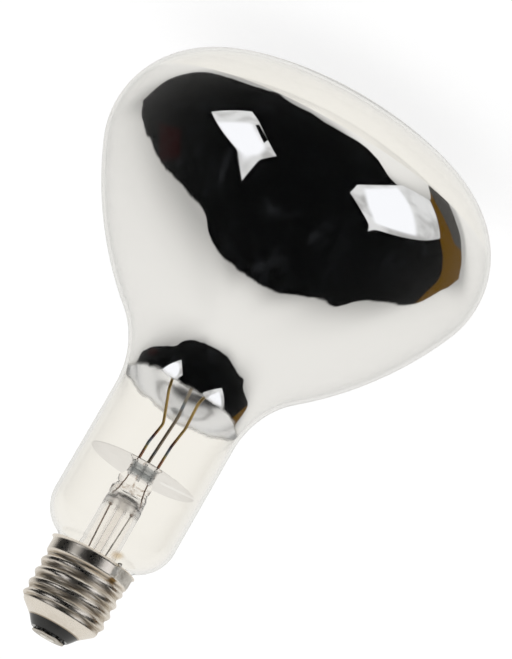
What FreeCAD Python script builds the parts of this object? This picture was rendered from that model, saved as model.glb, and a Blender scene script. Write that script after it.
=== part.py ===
import FreeCAD, Part
import math
import os

# Infrared heat lamp bulb: a blown reflector bulb of clear glass with an inner
# mirror film, a pinched glass stem that carries the filament, and a screw cap.
# The lamp stands on its domed face with the cap up. Z runs up the lamp's axis,
# the origin is the lowest point of the face, and -Y is the front.

# Sizes in millimetres, angles in degrees

# Bulb
overall_length = 185.5
bulb_diameter = 125.2
face_radius = 117.0
shoulder_radius = 27.4
reflector_radius = 115.8
reflector_start_angle = 23.3
flare_radius = 30.9
neck_diameter = 40.2
neck_shoulder_radius = 12.0
neck_shoulder_from_contact = 40.2
waist_diameter = 24.0
waist_radius = 2.5
seal_taper_angle = 12.0
seal_from_contact = 17.0
glass_wall = 1.0

# Mirror film
film_clearance = 0.12
film_thickness = 0.1
film_face_edge_height = 25.0
film_neck_edge_height = 106.5
film_neck_edge_tilt_x = 3.4
film_neck_edge_tilt_y = 2.7

# Screw cap
cap_sheet = 0.3
rim_from_contact = 27.3
rim_diameter = 27.5
rim_height = 0.7
collar_diameter = 26.1
thread_root_diameter = 24.1
thread_pitch = 3.629
thread_start_from_contact = 23.7
thread_crest_from_contact = 8.75
thread_fade_length = 1.6
thread_land = 0.1
shell_end_diameter = 16.0
shell_end_from_contact = 3.9
shell_cone_angle = 40.0
shell_bend_radius = 1.0
contact_plate_diameter = 10.4
contact_plate_thickness = 0.4
solder_button_height = 0.3
solder_button_diameter = 4.8
insulator_inner_from_contact = 6.9
contact_hole_diameter = 2.0

# Stem
disc_from_contact = 56.7
disc_diameter = 34.6
disc_thickness = 0.25
disc_hole_clearance = 0.15
press_width = 10.2
press_thickness = 4.6
press_height = 5.6
press_to_tube_height = 6.0
pinch_overrun = 0.5
stem_tube_diameter = 11.8
stem_mouth_diameter = 12.6
stem_mouth_from_contact = 24.5
stem_wall = 1.1
stem_mouth_bend_radius = 8.0
flare_rim_thickness = 1.0
stem_floor_diameter = 5.4
stem_floor_depth = 2.5
exhaust_diameter = 3.6
exhaust_bore = 2.0
exhaust_tip_from_contact = 10.5
blow_hole_diameter = 1.2
blow_hole_depth = 1.6

# Wires
lead_diameter = 0.9
seal_wire_diameter = 0.4
outer_lead_diameter = 0.5
weld_knot_diameter = 1.3
lead_spacing = 6.2
knot_spacing = 7.2
knot_from_contact = 44.0
rim_lead_spacing = 5.4
lead_bury = 2.6
lead_bend_radius = 4.0
lead_end_length = 5.0
support_diameter = 1.0
support_bury = 3.2
support_straight = 2.0
support_sway = 1.0
support_sway_depth = 19.6

# Each bend of a lead: how far it stands out from the lead's place in the
# press, and how far it lies below the disc
lead_bends = {
    "right": [(-0.2, 8.8), (-1.3, 15.6), (2.4, 25.7)],
    "left": [(0.5, 10.7), (1.5, 17.6), (1.1, 26.5)],
}

# Filament and its holders
filament_below_disc = 44.3
filament_ring_radius = 11.0
filament_coil_diameter = 1.4
filament_gap_angle = 110.0
filament_end_length = 3.0
clamp_diameter = 2.1
clamp_length = 2.4
hook_count = 4
hook_wire_diameter = 0.36
hook_clearance = 0.1
hook_wrap_angle = 230.0
bead_above_filament = 6.5
bead_diameter = 4.6
bead_length = 5.2

# Outer leads and the side solder
centre_lead_bend = 1.6
side_lead_bend = 0.8
rim_loop_bend = 0.4
side_lead_clearance = 0.3
side_lead_slack = 0.05
side_lead_bearing = 235.0
solder_bearing = 214.0
solder_from_contact = 25.2
solder_swell = 0.6
solder_back_radius = 9.3


def point(radius, height):
    """A point of a section, in the plane through the axis."""
    return FreeCAD.Vector(radius, 0, height)


def from_contact(distance):
    """Height of a station that is given from the contact end of the lamp."""
    return overall_length - distance


def around(bearing, radius, height):
    """A point at a bearing around the axis."""
    turn = math.radians(bearing)
    return FreeCAD.Vector(radius * math.cos(turn), radius * math.sin(turn), height)


def rounded_path(points, bends):
    """Straight runs through the points, with a tangent arc at each inner one."""
    edges = []
    start = points[0]
    for before, corner, after, radius in zip(points, points[1:], points[2:], bends):
        inward = (corner - before).normalize()
        outward = (after - corner).normalize()
        half_turn = inward.getAngle(outward) / 2
        reach = radius * math.tan(half_turn)
        arc_start = corner - inward * reach
        arc_end = corner + outward * reach
        inside = (outward - inward).normalize()
        arc_middle = corner + inside * (radius / math.cos(half_turn) - radius)
        edges.append(Part.makeLine(start, arc_start))
        edges.append(Part.Arc(arc_start, arc_middle, arc_end).toShape())
        start = arc_end
    edges.append(Part.makeLine(start, points[-1]))
    return Part.Wire(edges)


def tube_along(path, diameter):
    """A round wire that follows a path."""
    first = path.OrderedEdges[0]
    direction = first.tangentAt(first.FirstParameter)
    section = Part.Wire(Part.makeCircle(diameter / 2, first.valueAt(first.FirstParameter), direction))
    return Part.Wire(path.OrderedEdges).makePipeShell([section], True, True)


def straight_wire(start, end, diameter):
    run = end - start
    return Part.makeCylinder(diameter / 2, run.Length, start, run)


def lathe(wire):
    """The solid that a closed section sweeps around the axis."""
    return Part.Face(wire).revolve(FreeCAD.Vector(0, 0, 0), FreeCAD.Vector(0, 0, 1), 360)


def lathe_polygon(points):
    return lathe(Part.makePolygon(points + points[:1]))


def rod(diameter, low, high):
    return Part.makeCylinder(diameter / 2, high - low, FreeCAD.Vector(0, 0, low))


# The bulb's outline is a chain of arcs that touch each other, so a layer of
# the wall is the same chain with each radius changed by its depth.

neck_radius = neck_diameter / 2
shoulder_centre_radius = bulb_diameter / 2 - shoulder_radius
shoulder_centre_height = face_radius - math.sqrt(
    (face_radius - shoulder_radius) ** 2 - shoulder_centre_radius ** 2)
start_turn = math.radians(reflector_start_angle)
reflector_centre_radius = shoulder_centre_radius - (reflector_radius - shoulder_radius) * math.cos(start_turn)
reflector_centre_height = shoulder_centre_height - (reflector_radius - shoulder_radius) * math.sin(start_turn)
flare_centre_radius = neck_radius + flare_radius
flare_centre_height = reflector_centre_height + math.sqrt(
    (reflector_radius + flare_radius) ** 2 - (flare_centre_radius - reflector_centre_radius) ** 2)
neck_bend_centre_radius = neck_radius - neck_shoulder_radius
neck_bend_centre_height = from_contact(neck_shoulder_from_contact)
waist_centre_radius = waist_diameter / 2 + waist_radius
waist_centre_height = neck_bend_centre_height + math.sqrt(
    (neck_shoulder_radius + waist_radius) ** 2 - (waist_centre_radius - neck_bend_centre_radius) ** 2)
taper = math.radians(seal_taper_angle)
seal_height = from_contact(seal_from_contact)


def on_circle(centre, radius, turn):
    return point(centre.x + radius * math.cos(turn), centre.z + radius * math.sin(turn))


def arc_between(centre, radius, turn_from, turn_to):
    start = on_circle(centre, radius, turn_from)
    middle = on_circle(centre, radius, (turn_from + turn_to) / 2)
    end = on_circle(centre, radius, turn_to)
    return Part.Arc(start, middle, end).toShape()


def bearing_of(centre, other):
    return math.atan2(other.z - centre.z, other.x - centre.x)


def bulb_outline(depth):
    """The chain of arcs from the middle of the face to the seal, at a depth below the outside."""
    face_centre = point(0, face_radius)
    shoulder_centre = point(shoulder_centre_radius, shoulder_centre_height)
    reflector_centre = point(reflector_centre_radius, reflector_centre_height)
    flare_centre = point(flare_centre_radius, flare_centre_height)
    neck_bend_centre = point(neck_bend_centre_radius, neck_bend_centre_height)
    waist_centre = point(waist_centre_radius, waist_centre_height)
    face_end = bearing_of(face_centre, shoulder_centre)
    flare_meet = bearing_of(reflector_centre, flare_centre)
    waist_meet = bearing_of(neck_bend_centre, waist_centre)
    waist_end = math.pi + taper
    edges = [
        arc_between(face_centre, face_radius - depth, -math.pi / 2, face_end),
        arc_between(shoulder_centre, shoulder_radius - depth, face_end, start_turn),
        arc_between(reflector_centre, reflector_radius - depth, start_turn, flare_meet),
        arc_between(flare_centre, flare_radius + depth, flare_meet + math.pi, math.pi),
        Part.makeLine(point(neck_radius - depth, flare_centre_height),
                      point(neck_radius - depth, neck_bend_centre_height)),
        arc_between(neck_bend_centre, neck_shoulder_radius - depth, 0, waist_meet),
        arc_between(waist_centre, waist_radius + depth, waist_meet + math.pi, waist_end),
    ]
    cone_start = on_circle(waist_centre, waist_radius + depth, waist_end)
    edges.append(Part.makeLine(cone_start, point(seal_radius(depth), seal_height)))
    return edges


def seal_radius(depth):
    """Radius of the tapered seal neck where it ends, at a depth below the outside."""
    cone_start_radius = waist_centre_radius - (waist_radius + depth) * math.cos(taper)
    cone_start_height = waist_centre_height - (waist_radius + depth) * math.sin(taper)
    return cone_start_radius - (seal_height - cone_start_height) * math.tan(taper)


def bulb_layer(outer_depth, inner_depth):
    """The part of the bulb's wall between two depths."""
    outer = bulb_outline(outer_depth)
    inner = bulb_outline(inner_depth)
    closing = [
        Part.makeLine(point(seal_radius(outer_depth), seal_height), point(seal_radius(inner_depth), seal_height)),
        Part.makeLine(point(0, inner_depth), point(0, outer_depth)),
    ]
    edges = Part.sortEdges(outer + inner + closing)[0]
    return lathe(Part.Wire(edges))


def bulb_block():
    """The bulb as if it were solid, for what is moulded around it."""
    closing = [
        Part.makeLine(point(seal_radius(0), seal_height), point(0, seal_height)),
        Part.makeLine(point(0, seal_height), point(0, 0)),
    ]
    return lathe(Part.Wire(Part.sortEdges(bulb_outline(0) + closing)[0]))


def glass_envelope():
    return bulb_layer(0, glass_wall)


def reflector_coating():
    """The mirror film on the inside, from the shoulder to an edge that runs askew round the neck."""
    film_outside = glass_wall + film_clearance
    film = bulb_layer(film_outside, film_outside + film_thickness)
    below = rod(bulb_diameter, 0, film_face_edge_height)
    above = rod(bulb_diameter, 0, overall_length)
    above.rotate(FreeCAD.Vector(0, 0, 0), FreeCAD.Vector(1, 0, 0), film_neck_edge_tilt_x)
    above.rotate(FreeCAD.Vector(0, 0, 0), FreeCAD.Vector(0, 1, 0), -film_neck_edge_tilt_y)
    above.translate(FreeCAD.Vector(0, 0, film_neck_edge_height))
    return film.cut([below, above])


# Screw cap. The thread is pressed into the sheet, so it is a wave that runs
# round the wall, on the outside and on the inside alike.

collar_radius = collar_diameter / 2
thread_root_radius = thread_root_diameter / 2
rim_level = from_contact(rim_from_contact)
cone = math.radians(shell_cone_angle)
shell_end = point(shell_end_diameter / 2, from_contact(shell_end_from_contact))
shell_end_inside = shell_end + point(-math.sin(cone), -math.cos(cone)) * cap_sheet
poles_around = 48
poles_per_pitch = 12
join_tolerance = 0.0001


def cone_corner(wall, end):
    """Where the cone through the shell's end meets a wall of that radius."""
    return point(wall, end.z - (wall - end.x) * math.tan(cone))


bend_reach = shell_bend_radius * math.tan((math.pi / 2 - cone) / 2)
thread_start = from_contact(thread_start_from_contact)
thread_end = cone_corner(thread_root_radius, shell_end).z - bend_reach - thread_land


def spline_gain(poles_per_wave):
    """How far a cubic spline's poles stand outside a wave of that many poles."""
    return 3 / (2 + math.cos(2 * math.pi / poles_per_wave))


def fade(height):
    """The groove's share of its full depth, which grows from nothing below the collar."""
    share = min(max((height - thread_start) / thread_fade_length, 0), 1)
    return share * share * (3 - 2 * share)


def wall_radius(turn, height, depth):
    """Pole radius of the threaded wall at a bearing and a height, a depth below the outside.

    The slope of the cone cuts the last crest down to the root."""
    wave = 2 * math.pi * (height - from_contact(thread_crest_from_contact)) / thread_pitch - turn
    root = thread_root_radius - depth
    crest = min(collar_radius - depth, root + (thread_end - height) / math.tan(cone))
    groove = (crest - root) * fade(height) / 2
    middle = (crest - groove) * spline_gain(poles_around)
    return middle + groove * spline_gain(poles_per_pitch) * math.cos(wave)


def threaded_face(depth):
    """One side of the threaded wall, closed on itself with its seam in the plane of the sections."""
    degree = 3
    spans = math.ceil((thread_end - thread_start) * poles_per_pitch / thread_pitch)
    clamped = [0] * degree + list(range(spans + 1)) + [spans] * degree
    poles = []
    for column in range(poles_around):
        turn = 2 * math.pi * (column - 1) / poles_around
        line = []
        for row in range(spans + degree):
            share = sum(clamped[row + 1:row + 1 + degree]) / degree / spans
            height = thread_start + (thread_end - thread_start) * share
            radius = wall_radius(turn, height, depth)
            line.append(FreeCAD.Vector(radius * math.cos(turn), radius * math.sin(turn), height))
        poles.append(line)
    surface = Part.BSplineSurface()
    surface.buildFromPolesMultsKnots(
        poles,
        [1] * (poles_around + 1),
        [degree + 1] + [1] * (spans - 1) + [degree + 1],
        list(range(poles_around + 1)),
        list(range(spans + 1)),
        True, False, degree, degree)
    return surface.toShape()


def level_edge(shape, height):
    """The round edge of a shape that lies at a height."""
    for edge in shape.Edges:
        box = edge.BoundBox
        if abs(box.ZMin - height) < join_tolerance and box.ZLength < join_tolerance:
            return edge


def threaded_wall():
    """The threaded part of the cap: both sides of the sheet, closed by a flat ring at each end."""
    outside = threaded_face(0)
    inside = threaded_face(cap_sheet)
    faces = [outside, inside]
    for height in (thread_start, thread_end):
        circles = [Part.Wire(level_edge(side, height)) for side in (outside, inside)]
        faces.append(Part.makeFace(circles, "Part::FaceMakerBullseye"))
    skin = Part.Compound(faces)
    skin.sewShape(join_tolerance)
    return Part.Solid(Part.Shell(skin.Faces))


def cap_collar():
    """The plain band above the thread and the flared rim at its mouth."""
    rim_radius = rim_diameter / 2
    collar_start = rim_level + rim_height
    inner_radius = collar_radius - cap_sheet
    return lathe_polygon([
        point(collar_radius, thread_start),
        point(collar_radius, collar_start),
        point(rim_radius, rim_level),
        point(rim_radius - cap_sheet, rim_level),
        point(inner_radius, collar_start),
        point(inner_radius, thread_start),
    ])


def cap_cone():
    """The rounded cone that draws the sheet in to the insulator."""
    inner_radius = thread_root_radius - cap_sheet
    outside = rounded_path(
        [point(thread_root_radius, thread_end), cone_corner(thread_root_radius, shell_end), shell_end],
        [shell_bend_radius])
    inside = rounded_path(
        [point(inner_radius, thread_end), cone_corner(inner_radius, shell_end_inside), shell_end_inside],
        [shell_bend_radius - cap_sheet])
    closing = [
        Part.makeLine(shell_end, shell_end_inside),
        Part.makeLine(point(thread_root_radius, thread_end), point(inner_radius, thread_end)),
    ]
    return lathe(Part.Wire(Part.sortEdges(outside.Edges + inside.Edges + closing)[0]))


def cap_shell():
    """The cap pressed from one sheet: collar, thread and cone."""
    return threaded_wall().fuse([cap_collar(), cap_cone()], join_tolerance)


def cap_insulator():
    """The black glass cone that fills the shell's end and carries the contact."""
    hole_radius = contact_hole_diameter / 2
    inner_level = from_contact(insulator_inner_from_contact)
    top_level = overall_length - solder_button_height - contact_plate_thickness
    cone_reach = (shell_end_inside.z - inner_level) / math.tan(cone)
    return lathe_polygon([
        point(hole_radius, inner_level),
        point(shell_end_inside.x + cone_reach, inner_level),
        shell_end_inside,
        shell_end,
        point(contact_plate_diameter / 2, top_level),
        point(hole_radius, top_level),
    ])


plate_top = overall_length - solder_button_height
plate_bottom = plate_top - contact_plate_thickness


def centre_contact():
    """The contact plate, with the short eyelet that holds it in the insulator."""
    plate = rod(contact_plate_diameter, plate_bottom, plate_top)
    return plate.cut(rod(contact_hole_diameter, plate_bottom, plate_top))


def centre_solder(lead):
    """The solder that fills the eyelet and stands on the plate as a flat button."""
    button = rod(solder_button_diameter, plate_top, overall_length)
    button = button.makeChamfer(solder_button_height / 2, [level_edge(button, overall_length)])
    fill = rod(contact_hole_diameter, plate_bottom, plate_top)
    return button.fuse(fill).removeSplitter().cut(lead)


def capping_cement(side_lead):
    """The cement ring between the seal neck and the collar."""
    ring = rod(collar_diameter - 2 * cap_sheet, rim_level + rim_height, thread_start)
    return ring.cut([bulb_block(), side_lead])


# Stem

disc_level = from_contact(disc_from_contact)
press_top = disc_level + disc_thickness
press_end = press_top + press_height
tube_start = press_end + press_to_tube_height
stem_mouth = from_contact(stem_mouth_from_contact)
stem_floor = tube_start - stem_floor_depth
flare_top = seal_height + flare_rim_thickness
filament_height = disc_level - filament_below_disc
bead_height = filament_height + bead_above_filament


def pinch_side():
    """What the pinch takes off one side of the tube: a flat, then a slope out to the full round."""
    tube_radius = stem_tube_diameter / 2
    side = Part.makePolygon([
        FreeCAD.Vector(-tube_radius, press_thickness / 2, disc_level),
        FreeCAD.Vector(-tube_radius, press_thickness / 2, press_end),
        FreeCAD.Vector(-tube_radius, tube_radius + pinch_overrun, tube_start),
        FreeCAD.Vector(-tube_radius, stem_tube_diameter, tube_start),
        FreeCAD.Vector(-tube_radius, stem_tube_diameter, disc_level),
        FreeCAD.Vector(-tube_radius, press_thickness / 2, disc_level),
    ])
    return Part.Face(side).extrude(FreeCAD.Vector(stem_tube_diameter, 0, 0))


def glass_stem(wires):
    """The flared glass tube whose end is pinched flat around the wires."""
    tube_radius = stem_tube_diameter / 2
    mouth_radius = stem_mouth_diameter / 2
    meet_radius = seal_radius(glass_wall)
    outside = rounded_path(
        [point(tube_radius, tube_start), point(mouth_radius, stem_mouth), point(meet_radius, seal_height)],
        [stem_mouth_bend_radius])
    inside = rounded_path(
        [point(tube_radius - stem_wall, tube_start), point(mouth_radius - stem_wall, stem_mouth),
         point(meet_radius - stem_wall / 2, flare_top)],
        [stem_mouth_bend_radius + stem_wall])
    rim = Part.makePolygon([
        point(meet_radius, seal_height),
        point(seal_radius(0), seal_height),
        point(seal_radius(0), flare_top),
        point(meet_radius - stem_wall / 2, flare_top),
    ])
    foot = Part.makePolygon([
        point(tube_radius - stem_wall, tube_start),
        point(stem_floor_diameter / 2, stem_floor),
        point(0, stem_floor),
        point(0, press_top),
        point(press_width / 2, press_top),
        point(press_width / 2, press_end),
        point(tube_radius, tube_start),
    ])
    edges = outside.Edges + rim.Edges + inside.Edges + foot.Edges
    tube = lathe(Part.Wire(Part.sortEdges(edges)[0]))
    back_side = pinch_side()
    front_side = back_side.mirror(FreeCAD.Vector(0, 0, 0), FreeCAD.Vector(0, 1, 0))
    shaft = rod(exhaust_bore, stem_floor - blow_hole_depth, stem_floor)
    blow_hole = Part.makeCylinder(
        blow_hole_diameter / 2, stem_tube_diameter,
        FreeCAD.Vector(0, 0, stem_floor - blow_hole_depth / 2), FreeCAD.Vector(0, 1, 0))
    return tube.cut([back_side, front_side, shaft, blow_hole] + wires)


def exhaust_tube():
    """The tube the bulb was pumped through, closed with a melted tip inside the cap."""
    outer_radius = exhaust_diameter / 2
    bore_radius = exhaust_bore / 2
    tip = from_contact(exhaust_tip_from_contact)
    dome_start = tip - outer_radius
    section = [
        Part.makeLine(point(bore_radius, stem_floor), point(outer_radius, stem_floor)),
        Part.makeLine(point(outer_radius, stem_floor), point(outer_radius, dome_start)),
        arc_between(point(0, dome_start), outer_radius, 0, math.pi / 2),
        Part.makeLine(point(0, tip), point(0, dome_start + bore_radius)),
        arc_between(point(0, dome_start), bore_radius, 0, math.pi / 2),
        Part.makeLine(point(bore_radius, dome_start), point(bore_radius, stem_floor)),
    ]
    return lathe(Part.Wire(Part.sortEdges(section)[0]))


# Wires. Left and right are as seen from the front with the face down.

wire_end = press_top + lead_bury
knot_level = from_contact(knot_from_contact)
solder_level = from_contact(solder_from_contact)
clamp_bearings = {
    "right": -90 + filament_gap_angle / 2,
    "left": -90 - filament_gap_angle / 2,
}
sides = {"right": 1, "left": -1}


def tangent_at(bearing):
    turn = math.radians(bearing)
    return FreeCAD.Vector(-math.sin(turn), math.cos(turn), 0)


def clamp_start(side):
    """The end of the filament's ring on that side, where the clamp begins."""
    return around(clamp_bearings[side], filament_ring_radius, filament_height)


def clamp_direction(side):
    return tangent_at(clamp_bearings[side]) * -sides[side]


def clamp_bar(side, diameter):
    """A round bar in the place of a clamp."""
    return Part.makeCylinder(diameter / 2, clamp_length, clamp_start(side), clamp_direction(side))


def inner_lead_path(side):
    """A lead from the press to its clamp: straight through the disc, then bent by hand."""
    sign = sides[side]
    inset = lead_spacing / 2
    end = clamp_start(side) + clamp_direction(side) * (clamp_length / 2)
    elbow = FreeCAD.Vector(end.x, end.y, filament_height + lead_end_length)
    points = [FreeCAD.Vector(sign * inset, 0, wire_end)]
    for sway, height in lead_bends[side]:
        points.append(FreeCAD.Vector(sign * (inset + sway), 0, disc_level - height))
    points += [elbow, end]
    return rounded_path(points, [lead_bend_radius] * (len(points) - 2))


def inner_lead(side):
    """The lead, cut to sit on the round of its clamp."""
    return tube_along(inner_lead_path(side), lead_diameter).cut(clamp_bar(side, clamp_diameter))


def knot_place(side):
    return FreeCAD.Vector(sides[side] * knot_spacing / 2, 0, knot_level)


def seal_wire(side, lead):
    """The thin wire that the press grips, from the inner lead to the knot."""
    start = FreeCAD.Vector(sides[side] * lead_spacing / 2, 0, wire_end)
    return straight_wire(start, knot_place(side), seal_wire_diameter).cut(lead)


def weld_knot(side, wires):
    return Part.makeSphere(weld_knot_diameter / 2, knot_place(side)).cut(wires)


def outer_lead_centre():
    """The outer lead that runs through the insulator to the contact."""
    route = [
        knot_place("right"),
        FreeCAD.Vector(rim_lead_spacing / 2, 0, rim_level),
        FreeCAD.Vector(rim_lead_spacing / 2, 0, from_contact(exhaust_tip_from_contact)),
        FreeCAD.Vector(0, 0, from_contact(insulator_inner_from_contact)),
        FreeCAD.Vector(0, 0, plate_top),
    ]
    return tube_along(rounded_path(route, [centre_lead_bend] * (len(route) - 2)), outer_lead_diameter)


def side_lead_height():
    """Height of the wire where it crosses in front of the rim, clear of its edge."""
    return rim_level - side_lead_clearance - outer_lead_diameter / 2


def outer_lead_side():
    """The outer lead that turns over the stem's flare, runs down the seal neck
    through the cement, and loops over the rim to the solder on the collar."""
    inner_radius = rim_lead_spacing / 2
    half = outer_lead_diameter / 2
    over_flare = flare_top + side_lead_clearance + half + side_lead_bend
    beside_flare = seal_radius(0) + side_lead_clearance + 2 * half
    beside_neck = thread_root_radius - cap_sheet - side_lead_slack - half
    in_collar = collar_radius - cap_sheet - side_lead_slack - half
    outside_rim = rim_diameter / 2 + side_lead_clearance + half
    on_collar = collar_radius + 2 * side_lead_slack + half
    past_rim = side_lead_height()
    route = [
        knot_place("left"),
        FreeCAD.Vector(-inner_radius, 0, rim_level),
        FreeCAD.Vector(-inner_radius, 0, over_flare),
        around(side_lead_bearing, beside_flare, over_flare),
        around(side_lead_bearing, beside_flare, flare_top),
        around(side_lead_bearing, beside_neck, thread_start),
        around(side_lead_bearing, in_collar, thread_start - 4 * half),
        around(side_lead_bearing, in_collar, past_rim),
        around(side_lead_bearing, outside_rim, past_rim),
        around(side_lead_bearing, on_collar, solder_level),
    ]
    bends = [side_lead_bend] * 3 + [rim_loop_bend] * 5
    return tube_along(rounded_path(route, bends), outer_lead_diameter)


def side_solder(side_lead):
    """The rough lump of solder on the collar, over the end of the side lead."""
    swell = collar_radius + solder_swell
    lump = Part.makeSphere(solder_back_radius, around(solder_bearing, swell - solder_back_radius, solder_level))
    band = rod(2 * swell, rim_level + rim_height, thread_start)
    return lump.common(band).cut([rod(collar_diameter, rim_level, thread_start), side_lead])


# Filament, its clamps, hooks and the bead that holds the hooks

filament_radius = filament_coil_diameter / 2


def filament():
    """The coiled wire as the round bar of its outer size, on three quarters of a ring."""
    first = clamp_bearings["right"]
    last = clamp_bearings["left"] + 360
    ring_start = around(first, filament_ring_radius, filament_height)
    ring_end = around(last, filament_ring_radius, filament_height)
    ring_middle = around((first + last) / 2, filament_ring_radius, filament_height)
    path = Part.Wire([
        Part.makeLine(ring_start - tangent_at(first) * filament_end_length, ring_start),
        Part.Arc(ring_start, ring_middle, ring_end).toShape(),
        Part.makeLine(ring_end, ring_end + tangent_at(last) * filament_end_length),
    ])
    return tube_along(path, filament_coil_diameter)


def lead_clamp(side):
    """The sleeve that holds one end of the filament at its lead."""
    return clamp_bar(side, clamp_diameter).cut(clamp_bar(side, filament_coil_diameter))


def filament_hook(number):
    """A thin wire from the bead out to the ring, curled round the filament."""
    first = clamp_bearings["right"]
    last = clamp_bearings["left"] + 360
    bearing = first + (last - first) * (number + 0.5) / hook_count
    curl = filament_radius + hook_clearance + hook_wire_diameter / 2
    start = point(bead_diameter / 4, bead_height)
    ring = point(filament_ring_radius, filament_height)
    reach = ring - start
    slant = math.atan2(reach.z, reach.x) + math.asin(curl / reach.Length)
    leg = math.sqrt(reach.Length ** 2 - curl ** 2)
    touch = start + point(math.cos(slant), math.sin(slant)) * leg
    curl_start = slant + math.pi / 2
    curl_end = curl_start - math.radians(hook_wrap_angle)
    path = Part.Wire([Part.makeLine(start, touch), arc_between(ring, curl, curl_start, curl_end)])
    hook = tube_along(path, hook_wire_diameter)
    hook.rotate(FreeCAD.Vector(0, 0, 0), FreeCAD.Vector(0, 0, 1), bearing)
    return hook


def centre_support():
    """The stiff wire between the leads that carries the bead, set a little askew by hand."""
    route = [
        FreeCAD.Vector(0, 0, press_top + support_bury),
        FreeCAD.Vector(0, 0, disc_level - support_straight),
        FreeCAD.Vector(-support_sway, 0, disc_level - support_sway_depth),
        FreeCAD.Vector(0, 0, bead_height + bead_length),
        FreeCAD.Vector(0, 0, bead_height),
    ]
    return tube_along(rounded_path(route, [lead_bend_radius] * 3), support_diameter)


def support_bead(wires):
    """The glass bead at the end of the support, melted around the hooks."""
    bead = Part.makeSphere(bead_diameter / 2)
    stretch = FreeCAD.Matrix()
    stretch.scale(1, 1, bead_length / bead_diameter)
    bead = bead.transformGeometry(stretch)
    bead.translate(FreeCAD.Vector(0, 0, bead_height))
    return bead.cut(wires)


def mica_disc():
    """The heat shield above the press, with a hole for each wire."""
    disc = rod(disc_diameter, disc_level, press_top)
    holes = [rod(support_diameter + 2 * disc_hole_clearance, disc_level, press_top)]
    for sign in sides.values():
        hole = rod(lead_diameter + 2 * disc_hole_clearance, disc_level, press_top)
        hole.translate(FreeCAD.Vector(sign * lead_spacing / 2, 0, 0))
        holes.append(hole)
    return disc.cut(holes)


def lamp():
    """Every piece of the lamp by its node name."""
    pieces = {}
    for side in sides:
        pieces["lead_clamp_" + side] = lead_clamp(side)
        pieces["inner_lead_" + side] = inner_lead(side)
        pieces["seal_wire_" + side] = seal_wire(side, pieces["inner_lead_" + side])
    pieces["outer_lead_centre"] = outer_lead_centre().cut(pieces["seal_wire_right"])
    pieces["outer_lead_side"] = outer_lead_side().cut(pieces["seal_wire_left"])
    for side, outer in (("right", "outer_lead_centre"), ("left", "outer_lead_side")):
        pieces["weld_knot_" + side] = weld_knot(side, [pieces["seal_wire_" + side], pieces[outer]])
    pieces["centre_support"] = centre_support()
    hooks = [filament_hook(number) for number in range(hook_count)]
    pieces["support_bead"] = support_bead(hooks + [pieces["centre_support"]])
    for number, hook in enumerate(hooks, 1):
        pieces["filament_hook_%d" % number] = hook.cut(pieces["centre_support"])
    pieces["filament"] = filament()
    pieces["glass_stem"] = glass_stem([
        pieces["inner_lead_left"], pieces["inner_lead_right"], pieces["seal_wire_left"],
        pieces["seal_wire_right"], pieces["centre_support"]])
    pieces["exhaust_tube"] = exhaust_tube()
    pieces["mica_disc"] = mica_disc()
    pieces["glass_envelope"] = glass_envelope()
    pieces["reflector_coating"] = reflector_coating()
    pieces["cap_shell"] = cap_shell()
    pieces["cap_insulator"] = cap_insulator()
    pieces["centre_contact"] = centre_contact()
    pieces["centre_solder"] = centre_solder(pieces["outer_lead_centre"])
    pieces["side_solder"] = side_solder(pieces["outer_lead_side"])
    pieces["capping_cement"] = capping_cement(pieces["outer_lead_side"])
    return pieces


os.makedirs("parts", exist_ok=True)
for name, shape in lamp().items():
    shape.exportStep("parts/" + name + ".step")
    box = shape.BoundBox
    print("%-20s solids %d valid %s volume %10.3f  z %.2f to %.2f  r %.2f" % (
        name, len(shape.Solids), shape.isValid(), shape.Volume, box.ZMin, box.ZMax, box.XMax))
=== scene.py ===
from math import atan2, ceil, cos, degrees, exp, hypot, log, pi, radians, sin, sqrt, tan, tau

import bmesh
import bpy
import numpy as np
from mathutils import Matrix, Vector


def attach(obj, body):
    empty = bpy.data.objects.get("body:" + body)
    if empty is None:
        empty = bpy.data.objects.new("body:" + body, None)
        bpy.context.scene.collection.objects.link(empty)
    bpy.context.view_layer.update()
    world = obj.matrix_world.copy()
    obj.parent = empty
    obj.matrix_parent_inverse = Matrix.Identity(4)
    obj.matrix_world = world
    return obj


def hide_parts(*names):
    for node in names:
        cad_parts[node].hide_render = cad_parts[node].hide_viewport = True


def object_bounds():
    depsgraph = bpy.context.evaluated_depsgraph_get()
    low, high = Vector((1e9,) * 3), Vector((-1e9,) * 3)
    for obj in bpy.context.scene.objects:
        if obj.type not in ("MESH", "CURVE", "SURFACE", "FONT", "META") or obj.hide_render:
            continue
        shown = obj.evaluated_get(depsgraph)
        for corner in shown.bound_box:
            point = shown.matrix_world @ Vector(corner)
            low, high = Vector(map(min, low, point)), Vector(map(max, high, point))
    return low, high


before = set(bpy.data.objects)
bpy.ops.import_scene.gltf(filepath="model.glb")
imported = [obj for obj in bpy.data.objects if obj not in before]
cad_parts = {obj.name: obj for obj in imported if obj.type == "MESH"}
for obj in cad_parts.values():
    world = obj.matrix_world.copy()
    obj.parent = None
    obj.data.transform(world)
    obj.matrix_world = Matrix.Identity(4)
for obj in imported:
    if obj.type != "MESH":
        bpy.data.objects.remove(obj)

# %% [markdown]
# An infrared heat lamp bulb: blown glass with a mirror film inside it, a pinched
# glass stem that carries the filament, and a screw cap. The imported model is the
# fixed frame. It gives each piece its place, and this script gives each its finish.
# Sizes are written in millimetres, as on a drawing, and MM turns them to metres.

MM = 0.001
cad_box = [list(corner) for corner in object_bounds()]
lamp_height = (cad_box[1][2] - cad_box[0][2]) / MM
print("frame: %d nodes, %.1f mm tall" % (len(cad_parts), lamp_height))

# %% [markdown]
# The camera comes first, because a mirror shows whatever stands in front of it. It
# sits about a metre away with a long lens, as for a catalogue picture, and is rolled
# so that the cap points down to the left and the mirrored head up to the right.

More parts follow.
